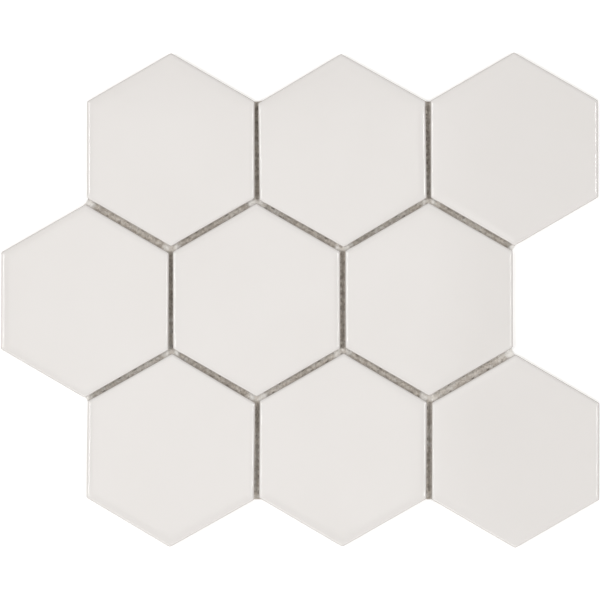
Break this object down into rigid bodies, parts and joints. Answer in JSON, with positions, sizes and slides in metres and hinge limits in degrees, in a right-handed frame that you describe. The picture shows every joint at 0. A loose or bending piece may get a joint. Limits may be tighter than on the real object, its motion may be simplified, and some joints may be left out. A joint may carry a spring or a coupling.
{
  "type": "mesh-mounted hexagon floor tile",
  "caption": "Sheet of glossy off-white hexagon porcelain floor tiles in staggered rows, held at open grout joints by a glass-fibre mesh glued to their backs.",
  "frame": {"origin": "bottom centre of the sheet, on the underside of the backing mesh", "axes": "+X along the rows of tiles, +Y from the front row to the back row, +Z out of the glazed faces"},
  "size_m": [0.3386, 0.2803, 0.0065],
  "materials": {
    "glazed_porcelain": "gloss glaze",
    "mesh_and_glue": "woven glass fibre set in glue"
  },
  "bodies": {
    "root": {"tile_back_left": "glazed_porcelain", "tile_back_centre": "glazed_porcelain", "tile_back_right": "glazed_porcelain", "tile_middle_left": "glazed_porcelain", "tile_middle_centre": "glazed_porcelain", "tile_middle_right": "glazed_porcelain", "tile_front_left": "glazed_porcelain", "tile_front_centre": "glazed_porcelain", "tile_front_right": "glazed_porcelain", "backing_mesh": "mesh_and_glue"}
  },
  "joints": []
}
